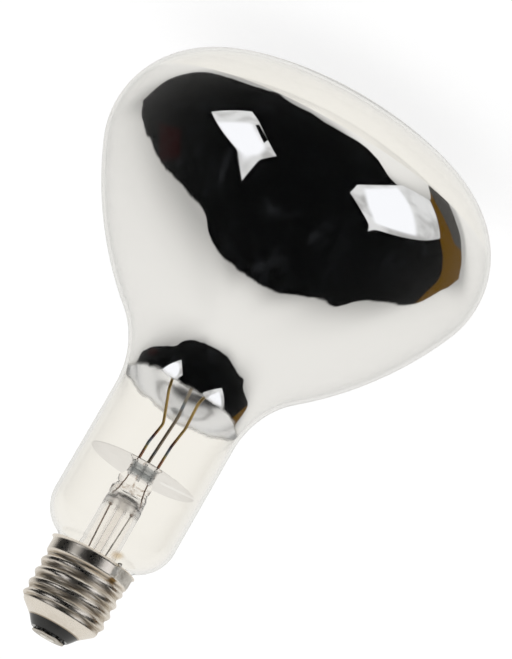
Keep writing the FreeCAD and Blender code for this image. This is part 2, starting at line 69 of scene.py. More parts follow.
# %% Place the camera
PIXELS_TALL, FOCAL_PIXELS = 659, 3391.8
SENSOR, FAR_CLIP = 36.0, 20.0
camera_place = Vector((0.0, -980.17, 322.57)) * MM
camera_right = Vector((-0.86684227, -0.12923651, -0.4815417))
camera_up = Vector((0.49851766, -0.20909067, -0.84128546))
camera_look = Vector((-0.00803892, 0.96931884, -0.24567532))

camera_data = bpy.data.cameras.new("camera")
camera_data.sensor_width = SENSOR
camera_data.lens = FOCAL_PIXELS * SENSOR / PIXELS_TALL
camera_data.clip_end = FAR_CLIP
camera = bpy.data.objects.new("camera", camera_data)
roll = Matrix((camera_right, camera_up, -camera_look)).transposed()
camera.matrix_world = Matrix.Translation(camera_place) @ roll.to_4x4()
bpy.context.scene.collection.objects.link(camera)
bpy.context.scene.camera = camera
bpy.context.scene.view_settings.view_transform = "Standard"
print("camera: %.0f mm lens" % camera_data.lens)

# %% [markdown]
# Small helpers for node trees. A maker of materials writes the same three steps
# again and again: add a node, set its values, join it to the next. So one helper
# does all three. It finds the tree from the values that it joins, and the others
# only name the nodes that come up most.

# %% Node helpers


def is_joined(value):
    return isinstance(value, bpy.types.NodeSocket)


def feed(socket, value):
    """Joins a socket to a value: another socket, a number or a colour."""
    if is_joined(value):
        socket.id_data.links.new(value, socket)
    else:
        socket.default_value = value


def add_node(kind, values=(), tree=None, **settings):
    """A node with its settings by attribute, and its values by socket name or in order.

    It goes into the tree that its joined values come from, unless a tree is given.
    """
    values = values if isinstance(values, dict) else dict(enumerate(values))
    tree = tree or next(value.id_data for value in values.values() if is_joined(value))
    node = tree.nodes.new("ShaderNode" + kind)
    for name, setting in settings.items():
        setattr(node, name, setting)
    for name, value in values.items():
        feed(node.inputs[name], value)
    return node


def reckon(operation, *values, clamp=False):
    """A Math node's result."""
    return add_node("Math", values, operation=operation, use_clamp=clamp).outputs[0]


def times(first, second, clamp=False):
    return reckon("MULTIPLY", first, second, clamp=clamp)


def minus(first, second):
    return reckon("SUBTRACT", first, second)


def scaled(value, scale, offset):
    """A value times a scale, plus an offset."""
    return reckon("MULTIPLY_ADD", value, scale, offset)


def vector_step(operation, *values, output="Vector"):
    """A Vector Math node's result."""
    return add_node("VectorMath", values, operation=operation).outputs[output]


def spread(value, low, high, to_low=0.0, to_high=1.0, ease="SMOOTHSTEP"):
    """A value mapped from one range to another, eased and without overshoot."""
    values = {"Value": value, "From Min": low, "From Max": high, "To Min": to_low, "To Max": to_high}
    return add_node("MapRange", values, interpolation_type=ease).outputs["Result"]


def blend(share, first, second, kind="RGBA"):
    """The first colour or vector, changed to the second by a share."""
    node = add_node("Mix", {"Factor": share}, data_type=kind)
    ends = [socket for socket in node.inputs if socket.type == kind][-2:]
    for socket, value in zip(ends, (first, second)):
        feed(socket, value)
    return [socket for socket in node.outputs if socket.type == kind][0]


def curve_of(value, points, run="VECTOR"):
    """A curve through points in the 0 to 1 square, with straight or smooth runs."""
    node = add_node("FloatCurve", {"Value": value})
    curve = node.mapping.curves[0]
    while len(curve.points) < len(points):
        curve.points.new(0.5, 0.5)
    for knot, (x, y) in zip(curve.points, points):
        knot.location = (x, y)
        knot.handle_type = run
    node.mapping.update()
    return node.outputs["Value"]


def noise(place, scale, detail=4.0, roughness=0.55, distortion=0.0):
    """Soft noise with a scale given in patches per metre."""
    values = {"Vector": place, "Scale": scale, "Detail": detail, "Roughness": roughness,
              "Distortion": distortion}
    return add_node("TexNoise", values).outputs["Fac"]


def stretched(place, scale, rotation=(0, 0, 0)):
    """A place scaled and turned, so that the pattern laid on it is stretched."""
    return add_node("Mapping", {"Vector": place, "Scale": scale, "Rotation": rotation}).outputs[0]


def object_place(tree):
    """The shaded point's place on the lamp, in metres."""
    return add_node("TexCoord", tree=tree).outputs["Object"]


def surface(tree):
    """What is known of the shaded surface, such as its normal."""
    return add_node("NewGeometry", tree=tree).outputs


def axes_of(vector):
    """A vector's X, Y and Z."""
    return add_node("SeparateXYZ", [vector]).outputs


def to_world(vector, kind):
    """A direction on the lamp, given on the world's axes."""
    return add_node("VectorTransform", [vector], vector_type=kind,
                    convert_from="OBJECT", convert_to="WORLD").outputs[0]


def give(shader, **values):
    """Feeds a shader's sockets by name."""
    for label, value in values.items():
        feed(shader.inputs[label.replace("_", " ")], value)


def new_finish(name, **plain):
    """A material and its tree and shader, with plain values by socket name."""
    material = bpy.data.materials.new(name)
    material.use_nodes = True
    tree = material.node_tree
    shader = tree.nodes["Principled BSDF"]
    give(shader, **plain)
    return material, tree, shader


print("node helpers ready")

# %% [markdown]
# The room. A mirrored bulb is photographed in a white tent with a dark opening for
# the camera, and two soft boxes shine through the opening. In the mirror that shows
# as white sides that fade to grey near the opening, a black patch with a crisp
# outline, and two bright slanted panes. The room is painted into the world by
# direction: bearing from the camera's side, and height above the horizon, both in
# degrees. Camera rays and diffuse rays see plain white, and rays that only pass
# through clear glass see warm white, so the light stays plain.

# %% Bearings and heights in the room
WHOLE_TURN, HALF_TURN, QUARTER_TURN = 360.0, 180.0, 90.0
opening_top = [
    (-180, -60), (-114, -7), (-112, 0), (-110, 10), (-107, 17), (-91, 29), (-81, 37), (-76, 44),
    (-65, 48), (-53, 54), (-34, 61), (0, 64), (30, 61), (49, 56), (58, 50), (61, 45), (66, 41),
    (74, 37), (84, 31), (97, 23), (106, 16), (113, 11), (118, 2), (119, -4), (180, -60)]
opening_foot = [
    (-180, 45), (-114, -6), (-112, -9), (-110, -14), (-107, -21), (-105, -30), (-102, -37), (-101, -45),
    (-84, -51), (-76, -39), (-54, -30), (-44, -31), (-30, -46), (-14, -52), (8, -52), (24, -54),
    (37, -53), (56, -55), (64, -52), (80, -47), (95, -43), (108, -38), (113, -31), (117, -23),
    (119, -12), (180, 45)]
pane_left = [(68, -5), (48, -21), (41, -14), (30, 4), (23, 16), (39, 35)]
pane_left_core = [(62, 4), (43, -8), (30, 12), (32, 22), (40, 29), (46, 27)]
pane_slit = [(41, -8), (39.3, -10), (30.7, 2.5), (32, 8)]
pane_right = [(-22, 10), (-23, -3), (-50, -34), (-75, -38), (-84, -15), (-74, -2), (-46, 28)]
pane_right_core = [(-27, -4), (-49, -32), (-57, -20), (-74, -3), (-58, 11), (-46, 22), (-33, 9)]
red_cloth = [(102, 12), (86, 17), (84, 25), (99, 22)]
# The curtain's edge as height and bearing
curtain_edge = [(-90, -60), (-37, -72), (-26, -78), (-14, -84), (-5, -92), (6, -100), (15, -104),
                (18, -107), (90, -180)]
door_top = [(-180, -90), (-113, -60), (-112, -21), (-98, -21), (-89, -30), (-81, -40), (-76, -62),
            (180, -90)]
# The shade around the opening follows a smoother outline
shade_top = [(-180, -60), (-115, -4), (-90, 29), (-60, 50), (-20, 63), (20, 63), (60, 48), (90, 27),
             (119, -2), (180, -60)]
shade_foot = [(-180, 45), (-115, -11), (-101, -42), (-60, -34), (-44, -31), (0, -52), (56, -55),
              (95, -43), (119, -14), (180, 45)]
# How far the shade reaches from the opening's edge in degrees, and its fastest fade
HALO_REACH, FADE_FASTEST = 60.0, 3.0
# Share of that reach, and share of the tent's white there
halo_shade = [(0, 0.50), (0.07, 0.59), (0.14, 0.69), (0.23, 0.80), (0.33, 0.89), (0.5, 0.96),
              (0.7, 0.99), (1, 1)]
# Bearing, and share of the fastest fade
halo_pace = [(-180, 0.48), (-100, 0.45), (-55, 0.73), (-20, 1), (15, 1), (55, 0.43), (80, 0.33),
             (180, 0.33)]
print("opening: %d and %d corners" % (len(opening_top), len(opening_foot)))

# %% [markdown]
# A pane is given by its corners. Each of its edges is a plane through the lamp, and
# a direction lies in the pane when it is on the inner side of them all.

# %% Colours of the room and masks by direction
WHITE = (1.0, 1.0, 1.0, 1)
BLACK = (0.0, 0.0, 0.0, 1)
TENT = (0.888, 0.882, 0.858, 1)
THROUGH = (0.958, 0.942, 0.893, 1)
DARK = (0.0013, 0.0014, 0.0015, 1)
CLUTTER = (0.024, 0.026, 0.029, 1)
PANE = (1.04, 1.06, 1.11, 1)
PANE_DIM = (0.46, 0.46, 0.46, 1)
PANE_LOW = (0.78, 0.79, 0.80, 1)
AMBER = (0.103, 0.049, 0.0, 1)
DOOR = (0.055, 0.052, 0.048, 1)
DULL_RED = (0.010, 0.0012, 0.0014, 1)
EDGE_SOFTNESS, CORE_SOFTNESS, CLOTH_SOFTNESS = 0.006, 0.04, 0.02


def soft_edge(depth, softness):
    """1 where a depth is above 0, with an edge this soft to each side."""
    return spread(depth, -softness, softness)


def direction_at(bearing, height):
    """The unit vector towards a bearing from the camera's side and a height."""
    bearing = radians(bearing)
    height = radians(height)
    level = cos(height)
    return Vector((level * sin(bearing), -level * cos(bearing), sin(height)))


def pane_mask(direction, corners, softness=EDGE_SOFTNESS):
    """1 inside a convex patch of the sky, on the inner side of all its edges."""
    ways = [direction_at(*corner) for corner in corners]
    middle = sum(ways, Vector()).normalized()
    mask = 1.0
    for first, second in zip(ways, ways[1:] + ways[:1]):
        normal = first.cross(second).normalized()
        if normal.dot(middle) < 0:
            normal = -normal
        side = vector_step("DOT_PRODUCT", direction, normal, output="Value")
        mask = times(mask, soft_edge(side, softness))
    return mask


def unit_bearing(bearing):
    return (bearing + HALF_TURN) / WHOLE_TURN


def unit_height(height):
    return (height + QUARTER_TURN) / HALF_TURN


def by_bearing(bearing, corners, run="AUTO_CLAMPED"):
    """A height that follows the bearing, both on the 0 to 1 scale."""
    return curve_of(bearing, [(unit_bearing(b), unit_height(h)) for b, h in corners], run)


print("edges are %.1f degrees soft" % degrees(EDGE_SOFTNESS))

# %% [markdown]
# Two outlines, one above and one below, bound the opening. A direction lies in it
# when it is under the first and over the second. The distance outwards from a
# smoother pair gives the tent its shade.

# %% Tent and opening
world = bpy.data.worlds.new("studio")
bpy.context.scene.world = world
world.use_nodes = True
world.cycles.sampling_method = "NONE"
sky = world.node_tree
sky.nodes.clear()
direction = add_node("TexCoord", tree=sky).outputs["Generated"]
way = axes_of(direction)
bearing = reckon("ARCTAN2", way["X"], times(way["Y"], -1.0))
bearing = scaled(bearing, 1 / tau, 0.5)
height = scaled(reckon("ARCSINE", way["Z"]), 1 / pi, 0.5)
below_top = minus(by_bearing(bearing, opening_top), height)
above_foot = minus(height, by_bearing(bearing, opening_foot))
inwards = reckon("MINIMUM", below_top, above_foot)

RAGGED = 0.02
clutter = noise(direction, 5.0, 6.0, 0.7)
ragged = scaled(minus(clutter, 0.5), RAGGED, inwards)
opening = soft_edge(ragged, EDGE_SOFTNESS / 2)

past_top = minus(height, by_bearing(bearing, shade_top))
past_foot = minus(by_bearing(bearing, shade_foot), height)
ROUNDING = 0.06
outwards = reckon("SMOOTH_MAX", past_top, past_foot, ROUNDING)
outwards = times(outwards, HALF_TURN / HALO_REACH * FADE_FASTEST)
pace = curve_of(bearing, [(unit_bearing(b), share) for b, share in halo_pace], "AUTO_CLAMPED")
shade = curve_of(times(outwards, pace, clamp=True), halo_shade)
tent = blend(shade, BLACK, TENT)
print("tent and opening: %d nodes" % len(sky.nodes))

# %% [markdown]
# Behind the opening lies a dark room with faint streaks and patches. A red cloth, an
# amber curtain and a grey door stand at its edges. The two panes are laid on last,
# each with a bright core and folds in its silk.

# %% Dark room and panes
streak_place = stretched(direction, (1.0, 4.0, 9.0), (0.4, 0.9, 0.3))
streaks = spread(noise(streak_place, 3.0, 5.0, 0.7, 0.6), 0.60, 0.80)
depths = blend(spread(clutter, 0.52, 0.82), DARK, CLUTTER)
depths = blend(streaks, depths, CLUTTER)
depths = blend(pane_mask(direction, red_cloth, CLOTH_SOFTNESS), depths, DULL_RED)
curtain = curve_of(height, [(unit_height(h), unit_bearing(b)) for h, b in curtain_edge])
curtain = soft_edge(minus(curtain, bearing), EDGE_SOFTNESS / 2)
depths = blend(curtain, depths, AMBER)
door = minus(by_bearing(bearing, door_top, "VECTOR"), height)
depths = blend(soft_edge(door, EDGE_SOFTNESS), depths, blend(streaks, DOOR, DARK))
room = blend(opening, tent, depths)

folds = spread(noise(direction, 3.0, 2.0, 0.5, 0.5), 0.35, 0.62)
silk = blend(folds, PANE_DIM, PANE_LOW)
for outline, core in ((pane_left, pane_left_core), (pane_right, pane_right_core)):
    lit = blend(pane_mask(direction, core, CORE_SOFTNESS), silk, PANE)
    room = blend(pane_mask(direction, outline), room, lit)
room = blend(pane_mask(direction, pane_slit), room, DARK)
print("room: %d nodes" % len(sky.nodes))

# %% [markdown]
# Who sees what. Camera rays and diffuse rays get plain white. Echoes are rays that
# were mirrored twice, or turned back from behind more glass: they see the tent, or
# else the glass would fill with small copies of the opening. Light turned once more
# between the front glass and the mirror still shows the opening.

# %% Share out the room
ONCE, TWICE, MANY_SKINS = 0.5, 1.5, 4.5
FRONT_TURNS, FRONT_SKINS = 3.0, 6.0
light_path = add_node("LightPath", tree=sky).outputs
mirrored, crossed = light_path["Glossy Depth"], light_path["Transmission Depth"]
seen_through = times(light_path["Is Transmission Ray"], reckon("LESS_THAN", mirrored, ONCE))
plain = reckon("ADD", light_path["Is Camera Ray"], light_path["Is Diffuse Ray"])
often = reckon("GREATER_THAN", mirrored, TWICE)
far_side = reckon("GREATER_THAN", crossed, MANY_SKINS)
in_front = times(reckon("COMPARE", mirrored, FRONT_TURNS, 0.5),
                 reckon("COMPARE", crossed, FRONT_SKINS, 0.5))
echo = minus(reckon("MAXIMUM", often, far_side), in_front)
for share, colour in ((echo, TENT), (seen_through, THROUGH), (plain, WHITE)):
    room = blend(share, room, colour)
background = add_node("Background", {"Color": room})
add_node("OutputWorld", {"Surface": background.outputs[0]})
print("world: %d nodes" % len(sky.nodes))

# %% [markdown]
# The floor is a plain white sheet. The lamp stands on it on its face, and its
# shadow stays. Most of its white is added for camera rays only, so that the paper
# reads as white without more light on the lamp.

# %% Lay the floor
FLOOR_HALF, FLOOR_LEVEL = 3.0, -0.0002
PAPER, PAPER_GLOW = (0.16, 0.16, 0.16, 1), 0.86
floor_mesh = bpy.data.meshes.new("floor")
corners = [(x * FLOOR_HALF, y * FLOOR_HALF, FLOOR_LEVEL) for x, y in ((-1, -1), (1, -1), (1, 1), (-1, 1))]
floor_mesh.from_pydata(corners, [], [(0, 1, 2, 3)])
floor = bpy.data.objects.new("floor", floor_mesh)
bpy.context.scene.collection.objects.link(floor)
paper, paper_tree, paper_shader = new_finish("paper", Base_Color=PAPER, Roughness=0.9, Emission_Color=WHITE)
seen = add_node("LightPath", tree=paper_tree).outputs["Is Camera Ray"]
give(paper_shader, Emission_Strength=times(seen, PAPER_GLOW))
floor_mesh.materials.append(paper)
floor.visible_glossy = False
floor.visible_transmission = False
print("floor: %.0f m across" % (2 * FLOOR_HALF))

# %% [markdown]
# Most of the lamp is turned or blown, so one helper serves nearly every piece: it
# puts a skin over rows of points. Each row runs once round the piece, and points
# that fall together, as at a pole, are merged.

# %% Mesh helpers
MERGE, SHARP = 1e-6, 35.0


def skin(name, rows, loop=False, sharp=40.0):
    """An object with a skin over rows of points in millimetres."""
    rows = np.asarray(rows, float)
    row_count, columns = rows.shape[:2]
    index = np.arange(row_count * columns).reshape(row_count, columns)
    lower = index if loop else index[:-1]
    upper = np.roll(index, -1, 0) if loop else index[1:]
    quads = np.stack([lower, np.roll(lower, -1, 1), np.roll(upper, -1, 1), upper], -1).reshape(-1, 4)
    mesh = bpy.data.meshes.new(name)
    mesh.from_pydata((rows.reshape(-1, 3) * MM).tolist(), [], quads.tolist())
    made = bmesh.new()
    made.from_mesh(mesh)
    bmesh.ops.remove_doubles(made, verts=made.verts, dist=MERGE)
    bmesh.ops.recalc_face_normals(made, faces=made.faces)
    made.to_mesh(mesh)
    made.free()
    mesh.shade_smooth()
    mesh.set_sharp_from_angle(angle=radians(sharp))
    piece = bpy.data.objects.new(name, mesh)
    bpy.context.scene.collection.objects.link(piece)
    return piece


def angles(columns):
    """The angle of each column, once round the axis."""
    return np.linspace(0, tau, columns, endpoint=False)


def around(radius, angle, level):
    """Points around the axis, from radii, angles and heights."""
    radius, angle, level = np.broadcast_arrays(radius, angle, level)
    return np.stack([radius * np.cos(angle), radius * np.sin(angle), level], -1)


def turned_rows(section, columns):
    """The rows that a section, (radius, height) pairs, sweeps around the axis."""
    radius, level = np.array(section, float).T[:, :, None]
    return around(radius, angles(columns), level)


def tube_rows(path, radius, sides):
    """The rows of a round tube along a path of points, closed at both ends."""
    path = np.asarray(path, float)
    along = np.gradient(path, axis=0)
    along /= np.linalg.norm(along, axis=1)[:, None]
    side = np.cross(along[0], (0.31, 0.17, 0.93))
    rows = [np.repeat(path[:1], sides, 0)]
    angle = angles(sides)[:, None]
    for place, way in zip(path, along):
        side = side - way * side.dot(way)
        side /= np.linalg.norm(side)
        other = np.cross(way, side)
        rows.append(place + radius * (np.cos(angle) * side + np.sin(angle) * other))
    rows.append(np.repeat(path[-1:], sides, 0))
    return rows


def finish_piece(piece, slot, material, *nodes):
    """Gives a piece its finish, lets it ride the lamp, and puts it in place of its nodes."""
    piece.data.materials.append(material)
    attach(piece, "root")
    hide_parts(*nodes)
    print("%s: %d faces" % (piece.name, len(piece.data.polygons)))


def make_piece(name, rows, slot, material, *nodes, **shape):
    """A skinned piece with its finish, in place of its nodes."""
    finish_piece(skin(name, rows, **shape), slot, material, *nodes)


def dress(material, *nodes):
    """Gives nodes of the frame a finish and smooth shading."""
    for node in nodes:
        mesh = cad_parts[node].data
        mesh.materials.clear()
        mesh.materials.append(material)
        mesh.shade_smooth()
        mesh.set_sharp_from_angle(angle=radians(SHARP))


print("mesh helpers ready")

# %% [markdown]
# Finishes. Each starts from the Principled shader. The blotches of age and handling
# come up in most of them, so they are a node group. The group only gives values and
# colours, and each finish feeds them to its own shader.

# %% Age blotches


def new_group(name, inputs, outputs):
    """An empty group with named sockets, which are numbers, or colours where the example is one."""
    group = bpy.data.node_groups.new(name, "ShaderNodeTree")
    for way, sockets in (("INPUT", inputs), ("OUTPUT", outputs)):
        for label, value in sockets.items():
            kind = "NodeSocketColor" if isinstance(value, tuple) else "NodeSocketFloat"
            group.interface.new_socket(label, in_out=way, socket_type=kind).default_value = value
    return group, group.nodes.new("NodeGroupInput").outputs, group.nodes.new("NodeGroupOutput").inputs


def use_group(tree, group, **values):
    """The outputs of a group placed in a tree with its own values."""
    return add_node("Group", values, tree, node_tree=group).outputs


age, age_in, age_out = new_group(
    "age_blotches",
    {"Clean": (0.7, 0.6, 0.5, 1), "Stained": (0.3, 0.2, 0.1, 1), "Amount": 0.4, "Scale": 300.0,
     "Smooth": 0.2, "Rough": 0.4},
    {"Color": WHITE, "Roughness": 0.5, "Height": 0.0})
FINER, SPECK_SHARE, SPECK_RELIEF, ROUGHEST = 7.0, 0.35, 0.4, 0.6
age_place = object_place(age)
age_patch = noise(age_place, age_in["Scale"], 5.0, 0.6)
age_fine = noise(age_place, times(age_in["Scale"], FINER), 3.0, 0.6)
age_share = times(spread(age_patch, 0.42, 0.72), age_in["Amount"])
age_speck = times(spread(age_fine, 0.45, 0.7), SPECK_SHARE)
age_full = reckon("ADD", age_share, times(age_speck, age_in["Amount"]), clamp=True)
feed(age_out["Color"], blend(age_full, age_in["Clean"], age_in["Stained"]))
age_dull = reckon("ADD", age_share, age_speck)
feed(age_out["Roughness"], spread(age_dull, 0.0, ROUGHEST, age_in["Smooth"], age_in["Rough"]))
feed(age_out["Height"], scaled(age_fine, SPECK_RELIEF, age_patch))
print("group age_blotches: %d nodes" % len(age.nodes))

# %% [markdown]
# The metals, cement and black glass all age in the same way, by blotches and fine
# specks. They differ in colour, in how shiny they stay, and in how deep the relief
# is. So they share one maker and stand in a table.

# %% Metals and cement
# Clean, stained, amount, scale, smooth, rough, depth of relief in metres, metallic
aged = {
    "solder_tin": ((0.86, 0.83, 0.77), (0.42, 0.38, 0.32), 0.75, 330.0, 0.45, 0.65, 0.00025, 0.6),
    "contact_metal": ((0.46, 0.42, 0.36), (0.28, 0.24, 0.20), 0.6, 500.0, 0.30, 0.50, 0.00003, 1.0),
    "tungsten": ((0.30, 0.29, 0.28), (0.10, 0.09, 0.09), 0.5, 1500.0, 0.35, 0.50, 0.00001, 1.0),
    "hook_metal": ((0.42, 0.40, 0.38), (0.14, 0.12, 0.12), 0.5, 900.0, 0.30, 0.50, 0.00001, 1.0),
    "copper": ((0.34, 0.27, 0.23), (0.16, 0.12, 0.10), 0.6, 700.0, 0.30, 0.50, 0.00002, 1.0),
    "cement": ((0.55, 0.47, 0.37), (0.30, 0.23, 0.16), 0.8, 1200.0, 0.85, 0.95, 0.0002, 0.0),
    "black_glass": ((0.010, 0.010, 0.009), (0.030, 0.028, 0.025), 0.4, 350.0, 0.12, 0.24, 0.00001, 0.0),
}


def aged_finish(name, clean, stained, amount, scale, smooth, rough, depth, metallic):
    """A finish whose colour, gloss and relief follow the blotches."""
    material, tree, shader = new_finish(name, Metallic=metallic)
    pattern = use_group(tree, age, Clean=clean + (1,), Stained=stained + (1,), Amount=amount,
                        Scale=scale, Smooth=smooth, Rough=rough)
    relief = add_node("Bump", {"Height": pattern["Height"], "Distance": depth})
    give(shader, Base_Color=pattern["Color"], Roughness=pattern["Roughness"], Normal=relief.outputs[0])
    return material


finishes = {name: aged_finish(name, *numbers) for name, numbers in aged.items()}
print("metals and cement: %d materials" % len(finishes))

# %% [markdown]
# The screw shell is nickel on brass. The press draws fine lines round it, the
# grooves keep brown tarnish where no cloth reaches, and flux from the soldering has
# run down and burnt brown below the solder. Each is a mask by place on the cap. The
# real thread's flanks are softer than the mesh, so the shading there is turned part
# of the way towards a plain barrel, more along some rolled lines than along others.

# %% Screw shell metal
GROOVE_DEEP, GROOVE_SHALLOW = 12.15 * MM, 12.85 * MM
FLUX_PLACE, FLUX_REACH, FLUX_RAGGED = Vector((-8.1, -9.6, 162.6)) * MM, 2.7 * MM, 1.6 * MM
EDGE_BELOW, EDGE_ABOVE = 181.15 * MM, 181.5 * MM
THREAD_FIRST, THREAD_LAST, THREAD_SOFT = 163.5 * MM, 178.2 * MM, (0.12, 0.60)
DRAWN_SCALE, ROLLED_SCALE, DULLED = 5200.0, 1700.0, 0.12
TARNISH, BURNT, WORN_EDGE = (0.40, 0.31, 0.20, 1), (0.23, 0.13, 0.03, 1), (0.22, 0.16, 0.10, 1)
cap_metal, cap_tree, cap_shader = new_finish("plated_brass", Metallic=1.0)
cap_place = object_place(cap_tree)
cap_at = axes_of(cap_place)
cap_flat = add_node("CombineXYZ", {"X": cap_at["X"], "Y": cap_at["Y"]}).outputs[0]
cap_radius = vector_step("LENGTH", cap_flat, output="Value")
under_cone = spread(cap_at["Z"], THREAD_LAST - MM, THREAD_LAST, 1.0, 0.0)
in_groove = times(spread(cap_radius, GROOVE_DEEP, GROOVE_SHALLOW, 1.0, 0.0), under_cone)
cap_pattern = use_group(cap_tree, age, Clean=(0.80, 0.74, 0.665, 1), Stained=(0.62, 0.54, 0.43, 1),
                        Amount=0.3, Scale=240.0, Smooth=0.27, Rough=0.34)
drawn_place = stretched(cap_place, (0.05, 0.05, 1.0))
drawn = noise(drawn_place, DRAWN_SCALE, 2.0, 0.6)
groove_share = times(in_groove, spread(drawn, 0.35, 0.62, 0.1, 0.8))
from_flux = vector_step("DISTANCE", cap_place, FLUX_PLACE, output="Value")
flux_edge = scaled(noise(cap_place, 700.0), FLUX_RAGGED, from_flux)
flux_share = spread(flux_edge, FLUX_REACH * 0.5, FLUX_REACH * 1.1, 0.95, 0.0)
edge_share = spread(cap_at["Z"], EDGE_BELOW, EDGE_ABOVE, 0.0, 0.8)
cap_colour = cap_pattern["Color"]
for share, colour in ((groove_share, TARNISH), (flux_share, BURNT), (edge_share, WORN_EDGE)):
    cap_colour = blend(share, cap_colour, colour)
dull = reckon("MAXIMUM", in_groove, flux_share)
give(cap_shader, Base_Color=cap_colour, Roughness=scaled(dull, DULLED, cap_pattern["Roughness"]))

barrel_way = vector_step("NORMALIZE", to_world(cap_flat, "NORMAL"))
rolled = noise(drawn_place, ROLLED_SCALE, 2.0, 0.6)
above_collar = spread(cap_at["Z"], THREAD_FIRST - MM, THREAD_FIRST)
softened = times(times(above_collar, under_cone), spread(rolled, 0.38, 0.62, *THREAD_SOFT))
give(cap_shader, Normal=blend(softened, surface(cap_tree)["Normal"], barrel_way, "VECTOR"))
print("screw shell metal: %d nodes" % len(cap_tree.nodes))

# %% [markdown]
# The thin wires were red hot when they were sealed in, so they carry brown and blue
# oxide in bands by height. Inside the press the wire stays bright.

# %% Heat-tinted wires
WIRE_COOL, WIRE_HOT, OXIDE_RAGGED = 100 * MM, 130 * MM, 1.2 * MM
# Share of the way to the press, and the oxide's colour there
lead_oxide = [
    (0.0, (0.58, 0.41, 0.17)), (0.51, (0.58, 0.39, 0.14)), (0.573, (0.36, 0.18, 0.10)),
    (0.627, (0.21, 0.15, 0.18)), (0.677, (0.25, 0.30, 0.36)), (0.72, (0.34, 0.36, 0.30)),
    (0.75, (0.62, 0.48, 0.18)), (0.80, (0.46, 0.23, 0.14)), (0.955, (0.44, 0.25, 0.16)),
    (0.963, (0.92, 0.92, 0.92))]
support_oxide = [
    (0.0, (0.44, 0.38, 0.29)), (0.15, (0.36, 0.33, 0.28)), (0.22, (0.27, 0.31, 0.35)),
    (0.30, (0.38, 0.32, 0.24)), (0.70, (0.40, 0.32, 0.23)), (0.76, (0.28, 0.29, 0.29)),
    (0.81, (0.36, 0.31, 0.24)), (0.955, (0.36, 0.31, 0.23)), (0.963, (0.92, 0.92, 0.92))]


def oxide_finish(name, oxide):
    """A bright wire with the colours that heat leaves, by height."""
    material, tree, shader = new_finish(name, Metallic=1.0, Roughness=0.34)
    place = object_place(tree)
    band = scaled(noise(place, 500.0), OXIDE_RAGGED, axes_of(place)["Z"])
    band = spread(band, WIRE_COOL, WIRE_HOT, ease="LINEAR")
    ramp = add_node("ValToRGB", {"Fac": band})
    stops = ramp.color_ramp.elements
    while len(stops) < len(oxide):
        stops.new(1.0)
    for stop, (share, colour) in zip(stops, oxide):
        stop.position = share
        stop.color = colour + (1,)
    give(shader, Base_Color=ramp.outputs["Color"])
    return material


lead_metal = oxide_finish("lead_steel", lead_oxide)
support_metal = oxide_finish("support_steel", support_oxide)
print("wire finishes: %d and %d colours" % (len(lead_oxide), len(support_oxide)))

# %% [markdown]
# Glass. Cycles bends light at each skin of a closed glass wall, so the wall is
# modelled with both its skins and gets a clear Principled shader with full
# transmission. Nothing else is mixed in: the darker rims come by themselves. A brown
# streak of burnt flux lies on it above the solder.

# %% Clear glass
STREAK_PLACE, STREAK_REACH = Vector((-5.9, -12.2, 156.6)) * MM, 2.8 * MM
clear_glass, glass_tree, glass_shader = new_finish(
    "clear_glass", Roughness=0.0, IOR=1.5, Transmission_Weight=1.0, Specular_Tint=(0.06, 0.06, 0.06, 1))
from_streak = vector_step("DISTANCE", object_place(glass_tree), STREAK_PLACE, output="Value")
streak_share = spread(from_streak, STREAK_REACH * 0.2, STREAK_REACH, 0.85, 0.0)
give(glass_shader, Base_Color=blend(streak_share, (0.965, 0.958, 0.945, 1), (0.62, 0.45, 0.24, 1)))
print("clear glass: %d nodes" % len(glass_tree.nodes))

# %% [markdown]
# The stem is softer glass, squeezed while hot. The squeeze leaves creases in it. At the foot,
# where the wires go in, the glass is dull, and its grey is painted shade: the dark that the
# press's slanted back face bends in. A little roughness at the foot and at the joint of
# press and tube turns the dark streaks trapped there to soft grey.

# %% Stem glass
FOOT_HIGH, FOOT_HALF, FOOT_ROUGH, FOOT_RAGGED = 131.1 * MM, 3.9 * MM, 0.5, 1.1 * MM
CREASES_END = 137.8 * MM
JOINT_MIDDLE, JOINT_REACH, JOINT_ROUGH = 140.0 * MM, 3.5 * MM, 0.3
stem_glass, stem_tree, stem_shader = new_finish(
    "stem_glass", Roughness=0.0, IOR=1.5, Transmission_Weight=1.0, Specular_Tint=(0.6, 0.6, 0.6, 1))
stem_place = object_place(stem_tree)
stem_at = axes_of(stem_place)
foot_line = scaled(noise(stem_place, 420.0), FOOT_RAGGED, stem_at["Z"])
foot_band = spread(foot_line, FOOT_HIGH, FOOT_HIGH + 0.5 * MM, 1.0, 0.0)
foot_side = reckon("ABSOLUTE", stem_at["X"])
foot_side = spread(foot_side, FOOT_HALF - 0.2 * MM, FOOT_HALF, 1.0, 0.0)
shaded_foot_share = times(foot_band, foot_side)
crease_place = stretched(stem_place, (1.0, 0.2, 0.9))
crease_cells = add_node("TexVoronoi", {"Vector": crease_place, "Scale": 210.0}, feature="DISTANCE_TO_EDGE")
creases = spread(crease_cells.outputs["Distance"], 0.02, 0.075, 1.0, 0.0)
crease_patches = spread(noise(stem_place, 500.0), 0.4, 0.6)
in_press = spread(stem_at["Z"], CREASES_END - MM, CREASES_END, 1.0, 0.0)
for share in (crease_patches, in_press):
    creases = times(creases, share)
stem_colour = blend(creases, (0.985, 0.975, 0.965, 1), (0.46, 0.38, 0.32, 1))
# Painted shade: the foot is tinted grey for the dark that refracts through it
stem_colour = blend(shaded_foot_share, stem_colour, (0.43, 0.455, 0.465, 1))
from_joint = reckon("ABSOLUTE", minus(stem_at["Z"], JOINT_MIDDLE))
joint_rough = spread(from_joint, JOINT_REACH * 0.5, JOINT_REACH, JOINT_ROUGH, 0.0)
give(stem_shader, Base_Color=stem_colour, Roughness=scaled(shaded_foot_share, FOOT_ROUGH, joint_rough))
print("stem glass: %d nodes" % len(stem_tree.nodes))
